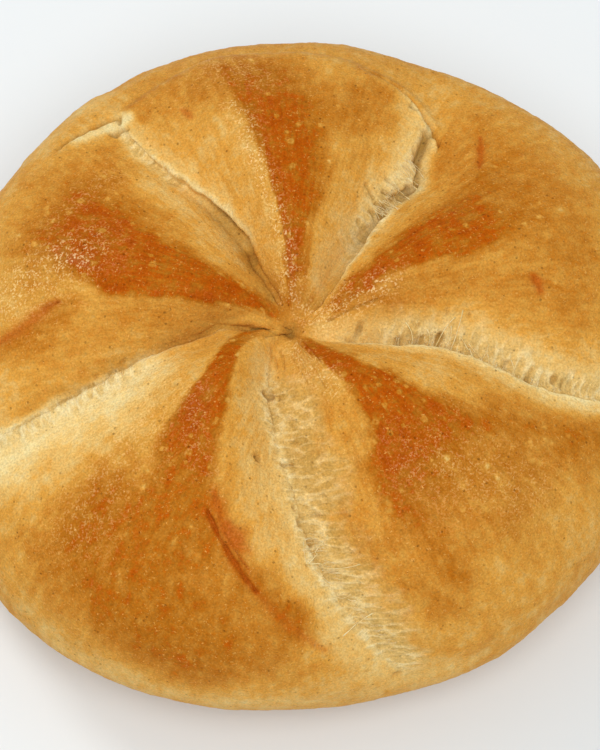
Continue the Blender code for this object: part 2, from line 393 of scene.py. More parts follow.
# Fringes of fine fibres where the skin tore: the places between which their roots lie, how far they reach
# across the seam, and how many there are
Fringe = namedtuple("Fringe", "start end reach count")
FRINGES = table(Fringe, (
    ((0.050, 22), (0.075, 34), -2.6, 60),
    ((3.975, 14), (3.975, 40), 1.0, 60),
    ((3.030, 36), (3.050, 60), -2.0, 60),
    ((2.045, 24), (2.030, 44), -1.4, 30),
))

# Scars where the skin was nipped: their two ends, half width, depth and redness
Scar = namedtuple("Scar", "start end width depth redness")
SCARS = table(Scar, (
    ((2.677, 34.0), (2.717, 37.2), 0.65, 1.0, 1.0),
    ((2.717, 37.2), (2.812, 44.9), 0.75, 0.9, 1.0),
    ((2.812, 44.9), (2.900, 55.0), 0.90, 0.2, 0.5),
    ((2.735, 35.4), (2.780, 38.6), 2.00, 0.2, 1.0),
    ((2.695, 31.0), (2.735, 36.0), 1.00, 0.3, 0.9),
    ((2.735, 36.5), (2.800, 41.5), 0.30, 0.4, 0.8),
    ((1.690, 34.0), (1.772, 43.0), 1.10, 0.3, 0.75),
    ((1.690, 33.5), (1.700, 36.0), 0.60, 0.5, 0.8),
    ((4.335, 33.0), (4.280, 34.0), 0.95, 0.20, 1.0),
    ((4.828, 36.5), (4.888, 42.0), 0.60, 0.3, 0.9),
    ((0.825, 36.0), (0.835, 38.8), 0.55, 0.1, 0.7),
    ((0.556, 55.3), (0.533, 55.8), 0.60, 0.0, 1.0),
))

# The deepest point of the hub, where the last of the dough was pressed in
HUB_PIT_PLACE = (3.1, 0.7 * MM)
HUB_PIT_WIDTH = 1.1 * MM

# Unevenness of the dough: how high and how wide it is, from the broadest to the finest
LUMPS = ((0.45 * MM, 20 * MM), (0.24 * MM, 8 * MM), (0.10 * MM, 3.6 * MM))

# How far the plain skin is baked, from 0 for cream to 1 for chestnut
FLANK_BAKE = 0.40
SIDE_BAKE = 0.41
HUB_BAKE = 0.58
BASE_BAKE = 0.62

# The skin's fine relief, its blisters, and the fine pits in the torn crumb
SKIN_STREAK_HEIGHT = 0.05 * MM
SKIN_GRAIN_HEIGHT = 0.06 * MM
BLISTER_SPACING = 1.7 * MM
BLISTER_SHARE = 0.45
PIT_SPACING = 1.2 * MM
PIT_SHARE = 0.30
PIT_DEPTH = 0.35 * MM

# Grid of the crust before it is thinned out
Grid = namedtuple("Grid", "around crown_step side_step base_step")
FULL_GRID = Grid(around=1100, crown_step=0.30 * MM, side_step=0.5 * MM, base_step=1.5 * MM)
CRUST_TRIANGLES = 190000
POLE_DISTANCE = 0.05 * MM

# The stage
CAMERA_TARGET = Vector((-0.23 * MM, -2.37 * MM, 20 * MM))
LIGHT_TARGET = Vector((0.0, 0.0, 20 * MM))
KEY_PLACE = Vector((-0.42, 0.40, 0.62))
KEY_SIZE = 0.25
FRONT_PLACE = Vector((0.06, -0.45, 1.02))
FRONT_SIZE = 0.80
LIGHT_COLOUR = (1.0, 0.99, 0.97)
ROOM_COLOUR = (0.95, 0.98, 1.0, 1.0)
FLOOR_HALF = 1.5


# ---------------------------------------------------------------------------------------------- form

def smooth(value, low, high):
    """Rises from 0 at low to 1 at high, with no kink."""
    held = np.clip((value - low) / (high - low), 0.0, 1.0)
    return held * held * (3.0 - 2.0 * held)


def hump(value, centre, width):
    """1 at the centre, falling to nothing on both sides."""
    return np.exp(-(((value - centre) / width) ** 2))


def dome_profile():
    """The turned dome's profile, from the top to the base's middle: distance, radius, height, normal."""
    swing = np.linspace(0.0, math.pi / 2, PROFILE_SAMPLES)
    power = 2.0 / CROWN_EXPONENT
    crown_radius = MEAN_RADIUS * np.sin(swing) ** power
    crown_height = WIDEST_HEIGHT + (HEIGHT_AT_CENTRE - WIDEST_HEIGHT) * np.cos(swing) ** power
    side_radius = MEAN_RADIUS * (BASE_SHARE + (1.0 - BASE_SHARE) * np.cos(swing))
    side_height = WIDEST_HEIGHT * (1.0 - np.sin(swing))
    base_radius = MEAN_RADIUS * BASE_SHARE * np.linspace(1.0, 0.0, PROFILE_SAMPLES)
    radius = np.concatenate([crown_radius, side_radius[1:], base_radius[1:]])
    height = np.concatenate([crown_height, side_height[1:], np.zeros(PROFILE_SAMPLES - 1)])
    distance = np.concatenate([[0.0], np.cumsum(np.hypot(np.diff(radius), np.diff(height)))])
    along_radius = np.gradient(radius, distance)
    along_height = np.gradient(height, distance)
    steepness = np.hypot(along_radius, along_height)
    return distance, radius, height, -along_height / steepness, along_radius / steepness


PROFILE = dome_profile()
END_DISTANCE = PROFILE[0][-1]
RIM_DISTANCE = END_DISTANCE - MEAN_RADIUS * BASE_SHARE
SIDE_DISTANCE = PROFILE[0][PROFILE_SAMPLES - 1]


def seam_azimuth(seam, distance):
    """The smooth curve through the seam's stations, in radians, held still beyond the last of them."""
    held = np.clip(distance, 0.0, SEAM_STATIONS[-1])
    azimuth = np.zeros_like(held)
    for station, value in zip(SEAM_STATIONS, seam.azimuths):
        weight = np.ones_like(held)
        for other in SEAM_STATIONS:
            if other != station:
                weight *= (held - other) / (station - other)
        azimuth += value * weight
    return np.radians(azimuth)


def azimuth_at(coordinate, distance):
    """The azimuth of a lobe coordinate at a distance from the hub."""
    first = np.floor(coordinate).astype(int) % len(SEAMS)
    share = coordinate % 1.0
    edges = np.stack([seam_azimuth(seam, distance) for seam in SEAMS])
    edges = np.concatenate([edges, edges[:1] + math.tau])
    column = np.arange(len(distance))
    low, high = edges[first, column], edges[first + 1, column]
    return low + (high - low) * share


def outline_radius_share(azimuth):
    """How far out the outline lies at an azimuth, as a share of the mean radius."""
    share = np.ones_like(azimuth)
    for order, cosine, sine in OUTLINE_WAVES:
        share += cosine * np.cos(order * azimuth) + sine * np.sin(order * azimuth)
    return share


def seam_depth(seam, distance):
    """How deep the valley along a seam is."""
    leaving_hub = 1.0 - np.exp(-((distance / SEAM_HUB_REACH) ** 2))
    fading_out = np.clip(1.0 - (distance / seam.reach) ** 4, 0.0, 1.0) ** 2
    return seam.depth * leaving_hub * fading_out


def past_tongue(coordinate, distance):
    """How far a place lies beyond the edge of the back lobe's tongue."""
    share = np.clip(coordinate % len(LOBES), 0.0, 1.0)
    return distance - TONGUE_REACH + TONGUE_CUT * np.exp(-share / TONGUE_CUT_SHARE)


def tongue_fall(coordinate, distance):
    """How far the side of the roll lies under the tongue."""
    share = np.clip(coordinate % len(LOBES), 0.0, 1.0)
    beyond = past_tongue(coordinate, distance)
    across = smooth(share, 0.0, TONGUE_RUN_OUT) * smooth(1.0 - share, 0.0, TONGUE_RUN_OUT)
    outward = smooth(beyond, 0.0, TONGUE_EDGE) * (1.0 - smooth(beyond, 0.0, TONGUE_SIDE))
    return TONGUE_DROP * outward * across


def crest_share(lobe, distance):
    """How far across a lobe its crest lies."""
    reached = np.clip(distance / MEAN_RADIUS, 0.0, 1.0)
    return lobe.crest_at_hub + (lobe.crest_at_rim - lobe.crest_at_hub) * reached


def fall(coordinate, distance):
    """How far the surface lies under the dome."""
    depth = HUB_DEPTH * np.exp(-((distance / HUB_REACH) ** 2))
    first = np.floor(coordinate).astype(int) % len(LOBES)
    share = coordinate % 1.0
    for index, lobe in enumerate(LOBES):
        crest = crest_share(lobe, distance)
        to_first = np.clip(1.0 - share / crest, 0.0, 1.0) ** lobe.first_flank
        to_second = np.clip(1.0 - (1.0 - share) / (1.0 - crest), 0.0, 1.0) ** lobe.second_flank
        valleys = seam_depth(SEAMS[index], distance) * to_first
        valleys += seam_depth(SEAMS[(index + 1) % len(SEAMS)], distance) * to_second
        depth += np.where(first == index, valleys, 0.0)
    return depth + tongue_fall(coordinate, distance)


def rounded_fall(coordinate, distance):
    """The same with the crests rounded off: a weighted mean over some places across the lobe."""
    reach = CREST_ROUNDING / (LOBE_ANGLE * np.maximum(distance, 3.0 * MM))
    share = coordinate % 1.0
    reach = np.minimum(np.minimum(reach, 0.16), np.minimum(share, 1.0 - share))
    weights = (1, 2, 3, 4, 4, 4, 3, 2, 1)
    total = np.zeros_like(distance)
    for offset, weight in zip(np.linspace(-1.0, 1.0, len(weights)), weights):
        total += weight / sum(weights) * fall(coordinate + offset * reach, distance)
    return total


def form(coordinate, distance):
    """The point of the plain surface at each pair of coordinates."""
    profile, radius, height, normal_out, normal_up = PROFILE
    azimuth = azimuth_at(coordinate, distance)
    inward = rounded_fall(coordinate, distance)
    out = np.interp(distance, profile, radius) * outline_radius_share(azimuth)
    out -= inward * np.interp(distance, profile, normal_out)
    up = np.interp(distance, profile, height) - inward * np.interp(distance, profile, normal_up)
    near_hub = 1.0 - np.clip(distance / MEAN_RADIUS, 0.0, 1.0)
    x = DOME_AXIS[0] + HUB_OFFSET[0] * near_hub + out * np.cos(azimuth)
    y = DOME_AXIS[1] + HUB_OFFSET[1] * near_hub + out * np.sin(azimuth)
    return np.stack([x, y, np.maximum(up, 0.0)], axis=1)


def form_normal(coordinate, distance):
    """The plain surface's outward direction at each pair of coordinates."""
    step, turn = 0.2 * MM, 0.004
    outer = form(coordinate, np.minimum(distance + step, END_DISTANCE))
    inner = form(coordinate, np.maximum(distance - step, POLE_DISTANCE))
    along = outer - inner
    across = form(coordinate + turn, distance) - form(coordinate - turn, distance)
    normal = np.cross(along, across)
    return normal / np.maximum(np.linalg.norm(normal, axis=1, keepdims=True), 1e-12)


# --------------------------------------------------------------------------------------------- noise

class Lattice:
    """A grid of cells over points, each with random values of its own. It repeats every 256 cells."""

    CELLS = 256

    def __init__(self, points, size):
        self.scaled = points / size
        self.cell = np.floor(self.scaled).astype(np.int64)

    def keys(self, shuffle, offset):
        """Which random values belong to the cells that lie by an offset from the points' own."""
        key = 0
        for axis in range(3):
            key = shuffle[(key + self.cell[:, axis] + offset[axis]) % self.CELLS]
        return key


def noise(points, size, seed):
    """Smooth noise from about -1 to 1, with features of a size. Each use has a seed of its own."""
    random = np.random.default_rng(seed)
    slopes = random.normal(size=(Lattice.CELLS, 3))
    slopes /= np.linalg.norm(slopes, axis=1, keepdims=True)
    shuffle = random.permutation(Lattice.CELLS)
    lattice = Lattice(points, size)
    within = lattice.scaled - lattice.cell
    fade = within ** 3 * (within * (within * 6.0 - 15.0) + 10.0)
    total = np.zeros(len(points))
    for corner in np.ndindex(2, 2, 2):
        weight = np.prod(np.where(corner, fade, 1.0 - fade), axis=1)
        total += weight * np.einsum("ij,ij->i", slopes[lattice.keys(shuffle, corner)], within - corner)
    return 1.6 * total


def layered(points, size, seed, layers):
    """Noise with finer and weaker layers added."""
    return sum(noise(points, size / 2 ** layer, seed + layer) / 2 ** layer for layer in range(layers))


def cells(points, size, seed):
    """The distance to the nearest of a scatter of spots, as a share of size, and that spot's own number."""
    random = np.random.default_rng(seed)
    places = random.random((Lattice.CELLS, 3))
    numbers = random.random(Lattice.CELLS)
    shuffle = random.permutation(Lattice.CELLS)
    lattice = Lattice(points, size)
    nearest = np.full(len(points), np.inf)
    number = np.zeros(len(points))
    for corner in np.ndindex(3, 3, 3):
        offset = np.array(corner) - 1
        key = lattice.keys(shuffle, offset)
        apart = np.linalg.norm(lattice.cell + offset + places[key] - lattice.scaled, axis=1)
        number = np.where(apart < nearest, numbers[key], number)
        nearest = np.minimum(nearest, apart)
    return nearest, number


# -------------------------------------------------------------------------------------------- places

class Places:
    """Places on the roll, by their lobe coordinates and distances from the hub."""

    def __init__(self, coordinate, distance):
        self.coordinate = coordinate % len(SEAMS)
        self.distance = distance
        self.lobe = np.floor(self.coordinate).astype(int)
        self.share = self.coordinate % 1.0
        self.azimuth = azimuth_at(self.coordinate, distance)
        self.point = form(self.coordinate, distance)
        self.radius = np.hypot(self.point[:, 0] - DOME_AXIS[0], self.point[:, 1] - DOME_AXIS[1])
        self.lobe_width = LOBE_ANGLE * self.radius
        self.seam_sides = [self.across(index) for index in range(len(SEAMS))]

    def noise(self, size, seed):
        """Noise over the surface."""
        return noise(self.point, size, seed)

    def flat(self):
        """A value of 0 at each place, to build on."""
        return np.zeros_like(self.distance)

    def across(self, index):
        """The distance from a seam, over the surface: positive on the side of the next lobe."""
        seam = SEAMS[index]
        step = 0.5 * MM
        centre = seam_azimuth(seam, self.distance)
        slant = (seam_azimuth(seam, self.distance + step) - centre) / step * self.radius
        turn = (self.azimuth - centre + math.pi) % math.tau - math.pi
        line = np.stack([self.distance, np.full_like(self.distance, index * 0.1), self.flat()], axis=1)
        wobble = 0.45 * MM * noise(line, 4.0 * MM, 31) + 0.18 * MM * noise(line, 1.3 * MM, 32)
        wobble *= smooth(self.distance, 2 * MM, 10 * MM)
        drift = MM * np.interp(self.distance, DRIFT_STATIONS, TEARS[index].drift)
        return turn * self.radius / np.sqrt(1.0 + slant ** 2) + wobble - drift

    def streaks(self, stretch):
        """Points in which noise is drawn out along the lobes."""
        radius = 0.55 * MEAN_RADIUS
        x, y = radius * np.cos(self.azimuth), radius * np.sin(self.azimuth)
        return np.stack([x, y, self.distance / stretch], axis=1)

    def gap(self, coordinate, distance):
        """How far the places lie from one place, across the lobes and along them."""
        half_round = len(SEAMS) / 2
        turn = (self.coordinate - coordinate + half_round) % len(SEAMS) - half_round
        return turn * self.lobe_width, self.distance - distance

    def from_line(self, start, end):
        """How far the places lie from a line between two places, and how far along it they are, 0 to 1."""
        across, lengthways = self.gap(*start)
        middle = 0.5 * (start[1] + end[1])
        run = ((end[0] - start[0]) * LOBE_ANGLE * middle, end[1] - start[1])
        reached = (across * run[0] + lengthways * run[1]) / (run[0] ** 2 + run[1] ** 2)
        reached = np.clip(reached, 0.0, 1.0)
        return np.hypot(across - reached * run[0], lengthways - reached * run[1]), reached

    def from_path(self, stations):
        """How far the places lie from the line through some places."""
        corners = form(*(np.array(values) for values in zip(*stations)))
        nearest = np.full_like(self.distance, np.inf)
        for start, end in zip(corners[:-1], corners[1:]):
            run = end - start
            offset = self.point - start
            reached = np.clip(offset @ run / (run @ run), 0.0, 1.0)
            nearest = np.minimum(nearest, np.linalg.norm(offset - reached[:, None] * run, axis=1))
        return nearest


def along(distance, start, end, rise=4.0 * MM, drop=8.0 * MM):
    """1 from start to end, with soft ends."""
    return smooth(distance, start, start + rise) * (1.0 - smooth(distance, end - drop, end))


def crumb_mask(places):
    """Where the seams have torn open and show crumb, from 0 to 1."""
    mask = places.flat()
    ragged = 1.0 + 0.4 * places.noise(3.0 * MM, 41) + 0.2 * places.noise(1.2 * MM, 42)
    for tear, side in zip(TEARS, places.seam_sides):
        width = np.where(side < 0.0, tear.crumb_before, tear.crumb_after) * ragged
        taper = 1.0 - 0.6 * smooth(places.distance, tear.crumb_end - 20 * MM, tear.crumb_end)
        inside = 1.0 - smooth(np.abs(side) / np.maximum(width * taper, 0.2 * MM), 0.15, 1.45)
        mask = np.maximum(mask, inside * along(places.distance, tear.crumb_start, tear.crumb_end, 8 * MM))
    return mask


def crumb_points(places):
    """Points in which noise in the torn crumb is drawn out across the nearest seam."""
    nearest = np.argmin(np.abs(np.stack(places.seam_sides)), axis=0)
    side = np.choose(nearest, places.seam_sides)
    return np.stack([side * 0.45, places.distance, nearest * 0.05 + 0.5 * places.point[:, 2]], axis=1)


# ---------------------------------------------------------------------------------- tears and marks

def pore_depth(places):
    """How deep the big pores go. Each has a slightly raised rim."""
    depth = places.flat()
    ragged = places.noise(1.1 * MM, 55)
    for pore in PORES:
        across, lengthways = places.gap(pore.coordinate, pore.distance)
        across = across + 0.20 * MM * ragged
        apart = (across / pore.length) ** 2 + (lengthways / pore.width) ** 2
        depth = np.maximum(depth, pore.depth * np.exp(-(apart ** 1.5)))
        depth -= PORE_RIM_SHARE * pore.depth * hump(np.sqrt(apart), 1.7, 0.4)
    return depth


def scar_fields(places):
    """How deep the scars go, and how red they are."""
    depth, red = places.flat(), places.flat()
    ragged = places.noise(1.6 * MM, 51)
    for scar in SCARS:
        away, reached = places.from_line(scar.start, scar.end)
        away = away + 0.35 * scar.width * ragged
        taper = 0.45 + 0.55 * np.sin(math.pi * np.clip(reached, 0.08, 0.92))
        depth = np.maximum(depth, scar.depth * hump(away, 0.0, 0.55 * scar.width * taper))
        red = np.maximum(red, scar.redness * hump(away, 0.0, scar.width * taper))
    return depth, red


def crease_fields(places, creases):
    """How far creases lower the surface, and how dark the shade painted inside them is."""
    depth, shade = places.flat(), places.flat()
    ragged = 1.0 + 0.35 * places.noise(1.0 * MM, 53)
    for crease in creases:
        across = hump(places.from_path(crease.stations) * ragged, 0.0, crease.width)
        depth += crease.depth * across
        shade = np.maximum(shade, crease.shade * across)
    return depth, shade


def gloss_fields(places):
    """How glossy the drawn skin is, and how wrinkled."""
    gloss, wrinkles = places.flat(), places.flat()
    ragged = 1.0 + 0.4 * places.noise(2.5 * MM, 52)
    for drawn in GLOSSES:
        away, _ = places.from_line(drawn.start, drawn.end)
        near = hump(away * ragged, 0.0, drawn.width)
        gloss = np.maximum(gloss, drawn.gloss * near)
        wrinkles = np.maximum(wrinkles, drawn.wrinkles * near)
    return gloss, wrinkles


def striped(places, level, ragged):
    """How far each place is baked, with the darkest stripes laid over it, and where they lie."""
    mask = places.flat()
    frayed = 0.55 * MM * places.noise(4 * MM, 61) + 0.5 * MM * noise(places.streaks(2.5), 1.6 * MM, 62)
    frayed += 0.3 * MM * places.noise(0.8 * MM, 63)
    softer = 0.8 + 1.8 * smooth(places.distance, 14 * MM, 38 * MM)
    for index, stripe in enumerate(STRIPES):
        distances, first_edge, second_edge = np.array(stripe.edges).T
        past_first = places.coordinate - np.interp(places.distance, distances * MM, first_edge)
        before_second = np.interp(places.distance, distances * MM, second_edge) - places.coordinate
        here = places.lobe == index
        for inside, softness in (
            (past_first, stripe.first_softness),
            (before_second, stripe.second_softness),
        ):
            here = here * smooth((inside * places.lobe_width + frayed) / softer, -softness, softness)
        here *= along(places.distance + 3.0 * frayed, STRIPE_START, stripe.end, stripe.rise, STRIPE_FADE)
        level = level + (stripe.level + 0.06 * ragged - level) * here
        mask += here
    return level, mask


def patched(places, level, patches, ragged):
    """How far each place is baked, with patches laid over it."""
    for patch in patches:
        away, _ = places.from_line(patch.start, patch.end)
        away = away + 0.45 * patch.softness * ragged
        covered = 1.0 - smooth(away, patch.width - patch.softness, patch.width + patch.softness)
        level = level + (patch.level - level) * covered
    return level


def bake_level(places, lumps):
    """How far each place is baked, from 0 for cream to 1 for chestnut, and where the stripes lie."""
    distance = places.distance
    ragged = places.noise(6 * MM, 71) + 0.5 * noise(places.streaks(2.5), 2.5 * MM, 72)
    level = FLANK_BAKE + 0.10 * lumps / MM + 0.04 * ragged
    side = smooth(distance, 44 * MM, 56 * MM)
    level += (SIDE_BAKE - level) * 0.7 * side
    level = patched(places, level, PATCHES, ragged)
    for tear, from_seam in zip(TEARS, places.seam_sides):
        width = np.where(from_seam < 0.0, tear.pale_before, tear.pale_after) * (1.0 + 0.25 * ragged)
        width *= 0.35 + 0.65 * smooth(distance, 8 * MM, 32 * MM)
        pale = 1.0 - smooth(np.abs(from_seam) / width, 0.25, 1.25)
        pale *= along(distance, tear.pale_start, tear.pale_end, 8 * MM, 10 * MM)
        level += (tear.pale_level - level) * pale
    level = patched(places, level, SEAM_PATCHES, ragged)
    level, stripes = striped(places, level, ragged)
    hub = 1.0 - smooth(distance, 0.5 * MM, 3 * MM)
    level += (HUB_BAKE - level) * hub
    return level, stripes


def beside_seam(tear, lipwards, distance):
    """Beside a seam's crack: the surface's height, the shade painted in the crack and under its lip, and
    where its lip's edge is.
    """
    grooved = along(distance, tear.groove_start, tear.groove_end, 3 * MM, 8 * MM)
    opened = along(distance, 4 * MM, tear.crumb_end, 8 * MM, 12 * MM)
    under = smooth(-lipwards, -0.25 * MM, 0.35 * MM)
    lip = tear.lip * opened * hump(lipwards, 0.8 * MM, 0.7 * MM)
    dip = tear.dip * opened * under * hump(lipwards, 0.0, 2.6 * MM)
    groove = tear.groove * grooved * hump(lipwards, -0.12 * MM, 0.22 * MM)
    shade = tear.shade * grooved * hump(lipwards, -0.12 * MM, 0.20 * MM)
    shade = np.maximum(shade, tear.soft_shade * grooved * under * hump(lipwards, 0.0, tear.soft_width))
    edge = opened * hump(lipwards, 0.45 * MM, 0.40 * MM)
    return np.stack([lip - dip - groove, shade, edge])


def tear_relief(places):
    """The same for all the seams: height, painted shade and lips' edges."""
    total = np.zeros((3, len(places.distance)))
    uneven = 1.0 + 0.4 * places.noise(3.0 * MM, 4)
    for tear, side in zip(TEARS, places.seam_sides):
        turned = smooth(places.distance, tear.turn - 3 * MM, tear.turn + 3 * MM)
        total += (1.0 - turned) * beside_seam(tear, tear.inner_lip * side, places.distance)
        total += turned * beside_seam(tear, tear.outer_lip * side, places.distance)
    return total * uneven


def tongue_relief(places, groove_depth):
    """Round the tongue's edge: the surface's height, how dark the shade painted in its groove is and where
    the edge is.
    """
    past_edge = past_tongue(places.coordinate, places.distance)
    beyond = np.where(places.lobe == 0, past_edge, np.inf)
    torn_open = 1.0 - smooth(places.share, 0.10, 0.34)
    in_groove = hump(beyond, 0.4 * MM, 0.5 * MM)
    lip = 0.3 * MM * (0.3 + 0.7 * torn_open) * hump(beyond, -1.2 * MM, 1.1 * MM)
    shade = torn_open * (0.3 + 0.4 * places.noise(2.5 * MM, 5)) * in_groove
    edge = torn_open * hump(beyond, -0.8 * MM, 0.8 * MM)
    return lip - groove_depth * torn_open * in_groove, shade, edge


def torn_crumb(places):
    """The torn crumb: how high its fibres stand, and how deep its fine pits are."""
    fibres = crumb_points(places)
    torn = 0.10 * MM * noise(fibres, 0.8 * MM, 11) + 0.08 * MM * noise(fibres, 0.45 * MM, 12)
    torn += 0.20 * MM * places.noise(2.6 * MM, 13)
    warped = fibres + 0.5 * MM * np.stack([places.noise(2.0 * MM, seed) for seed in (15, 16, 17)], axis=1)
    apart, picked = cells(warped, PIT_SPACING, 14)
    size = 0.16 + 0.7 * np.minimum(picked, PIT_SHARE)
    return torn, PIT_DEPTH * np.exp(-((apart / size) ** 3)) * (picked < PIT_SHARE)


def blister_domes(places, likely):
    """The blisters' round domes, from 0 to 1 high, where they are likely."""
    apart, picked = cells(places.point, BLISTER_SPACING, 23)
    size = 0.12 + 0.22 * (picked * 7.0 % 1.0)
    return np.clip(1.0 - (apart / size) ** 2, 0.0, 1.0) * (picked < BLISTER_SHARE) * likely


def skin_grain(places, skin, wrinkled, away, wrinkle_height):
    """The baked skin's fine streaks and grain, and the wrinkles of skin that was drawn tight."""
    streaks = SKIN_STREAK_HEIGHT * layered(places.streaks(3.5), 0.9 * MM, 21, 2) * skin * away
    grain = SKIN_GRAIN_HEIGHT * layered(places.point, 1.0 * MM, 22, 2) * skin
    wrinkles = wrinkle_height * layered(places.streaks(4.0), 0.7 * MM, 24, 2) * wrinkled * away
    return streaks + grain + wrinkles


HUB_PIT = form(*(np.array([value]) for value in HUB_PIT_PLACE))[0]


def relief(places, sizes):
    """How far the fine surface stands out from the plain form, and what the crust's material reads."""
    distance = places.distance
    lumps = sum(height * places.noise(size, seed) for seed, (height, size) in enumerate(LUMPS, 1))
    height = lumps * smooth(distance, 2 * MM, 12 * MM)
    for swell in SWELLS:
        from_swell = np.hypot(*places.gap(swell.coordinate, swell.distance))
        height += swell.rise * hump(from_swell, 0.0, swell.spread)

    level, stripes = bake_level(places, lumps)
    scar, red = scar_fields(places)
    gloss, wrinkled = gloss_fields(places)
    pores = pore_depth(places)
    creased, crease_shade = crease_fields(places, CREASES)
    drawn, _ = crease_fields(places, WRINKLES)
    cracked, crack_shade, lip_edge = tear_relief(places)
    tongue, tongue_shade, tongue_edge = tongue_relief(places, sizes.tongue_groove)
    height += cracked - creased - drawn - scar - pores + tongue

    crown = 1.0 - smooth(distance, RIM_DISTANCE - 6 * MM, RIM_DISTANCE + 2 * MM)
    crumb = crumb_mask(places)
    torn, pits = torn_crumb(places)
    away = smooth(distance, 5 * MM, 20 * MM)
    blisters = blister_domes(places, np.clip(stripes + 0.3 * smooth(level, 0.5, 0.7), 0.0, 1.0))
    height += crumb * (torn - pits)
    height += skin_grain(places, (1.0 - crumb) * crown, wrinkled, away, sizes.wrinkle_height)
    height += sizes.blister_height * blisters

    from_pit = np.linalg.norm(places.point - HUB_PIT, axis=1)
    height -= sizes.hub_pit_depth * hump(from_pit, 0.0, HUB_PIT_WIDTH)
    # Painted shade round the hub pit
    pit_shade = 0.8 * hump(from_pit, 0.0, 0.9 * MM) + 0.15 * hump(from_pit, 0.0, 2.6 * MM)

    underneath = smooth(distance, RIM_DISTANCE - 4 * MM, RIM_DISTANCE + 3 * MM)
    # Paler along the lips' edges: partly a painted highlight on the raised edges, partly paler stretched
    # skin
    level = level - 0.20 * np.clip(lip_edge + tongue_edge, 0.0, 1.0) * (1.0 - stripes)
    level += (BASE_BAKE - level) * underneath
    # Painted shade: how far the colour is darkened in pores, fine pits, cracks, creases, the tongue's
    # groove and the hub pit, where shade falls
    pore_shade = pores / (1.1 * MM)
    fine_pit_shade = crumb * pits / (0.5 * MM)
    shades = (pore_shade, fine_pit_shade, crack_shade, crease_shade, tongue_shade, pit_shade)
    masks = {
        "bake": np.clip(level, 0.0, 1.0),
        "crumb": crumb,
        "hollow": np.clip(np.max(shades, axis=0), 0.0, 1.0),
        "red": red,
        "gloss": gloss,
        "blister": blisters,
        "flour": underneath,
        "away": away,
    }
    return height * crown, masks


def surface(places, sizes):
    """The fine surface's points and what the material reads there."""
    height, masks = relief(places, sizes)
    point = places.point + form_normal(places.coordinate, places.distance) * height[:, None]
    point[:, 2] = np.maximum(point[:, 2], 0.0)
    return point, masks


# ------------------------------------------------------------------------------------------- shading

class Socket:
    """A shader value that can be used in arithmetic: an expression on values adds its Math nodes."""

    def __init__(self, graph, socket):
        self.graph = graph
        self.socket = socket

    def math(self, operation, *values):
        """A Math node on these values."""
        return self.graph.node("ShaderNodeMath", {"operation": operation}, dict(enumerate(values)))

    def __add__(self, other):
        return self.math("ADD", self, other)

    def __sub__(self, other):
        return self.math("SUBTRACT", self, other)

    def __rsub__(self, other):
        return self.math("SUBTRACT", other, self)

    def __mul__(self, other):
        return self.math("MULTIPLY", self, other)

    __radd__ = __add__
    __rmul__ = __mul__

    def between(self, low, high):
        """0 at low and 1 at high, with soft ends."""
        settings = {"interpolation_type": "SMOOTHSTEP"}
        return self.graph.node("ShaderNodeMapRange", settings, {0: self, 1: low, 2: high, 3: 0.0, 4: 1.0})


class Graph:
    """A new material and its nodes."""

    def __init__(self, name):
        self.material = bpy.data.materials.new(name)
        self.material.use_nodes = True
        self.tree = self.material.node_tree
        self.shader = self.tree.nodes["Principled BSDF"]

    def node(self, kind, settings=None, sockets=None, output=0):
        """Adds a node: first its settings, then the values or links of its sockets."""
        node = self.tree.nodes.new(kind)
        for name, value in (settings or {}).items():
            if name == "stops":
                self.set_stops(node.color_ramp, value)
            else:
                setattr(node, name, value)
        for key, value in (sockets or {}).items():
            self.feed(node.inputs[key], value)
        return Socket(self, node.outputs[output])

    def feed(self, target, value):
        """Links a shader value to a node's input, or sets the input to a plain value."""
        if isinstance(value, Socket):
            self.tree.links.new(value.socket, target)
        else:
            target.default_value = value

    def set_stops(self, ramp, stops):
        """Gives a ramp these positions and colours."""
        while len(ramp.elements) < len(stops):
            ramp.elements.new(1.0)
        for element, (position, colour) in zip(ramp.elements, stops):
            element.position = position
            element.color = (*colour, 1.0)

    def attribute(self, name, output="Fac"):
        """What the mesh carries under a name."""
        return self.node("ShaderNodeAttribute", {"attribute_name": name}, output=output)

    def noise(self, vector, size, detail=2.0, roughness=0.5):
        """Noise from 0 to 1, with features of a size in metres."""
        sockets = {"Vector": vector, "Scale": 1.0 / size, "Detail": detail, "Roughness": roughness}
        return self.node("ShaderNodeTexNoise", None, sockets)

    def cells(self, vector, size):
        """Distance to the nearest of a scatter of spots, as a share of their spacing."""
        return self.node("ShaderNodeTexVoronoi", None, {"Vector": vector, "Scale": 1.0 / size})

    def ramp(self, level, *stops):
        """The colour at a level of a ramp of colours."""
        return self.node("ShaderNodeValToRGB", {"stops": stops}, {0: level})

    def mix(self, share, first, second):
        """A colour between two colours."""
        return self.node("ShaderNodeMix", {"data_type": "RGBA"}, {0: share, 6: first, 7: second}, 2)

    def mix_values(self, share, first, second):
        """A value between two values."""
        return self.node("ShaderNodeMix", {"data_type": "FLOAT"}, {0: share, 2: first, 3: second})

    def scale_colour(self, colour, factor):
        """A colour made darker or lighter by a value."""
        return self.node("ShaderNodeVectorMath", {"operation": "SCALE"}, {0: colour, 3: factor})

    def bump(self, height, distance):
        """A normal for relief that is too fine for the mesh."""
        return self.node("ShaderNodeBump", None, {"Height": height, "Distance": distance, "Strength": 1.0})

    def set(self, **values):
        """Sets or links the shader's sockets, named with _ for a space."""
        for name, value in values.items():
            self.feed(self.shader.inputs[name.replace("_", " ")], value)


def rgba(colour):
    """An opaque colour."""
    return (*colour, 1.0)


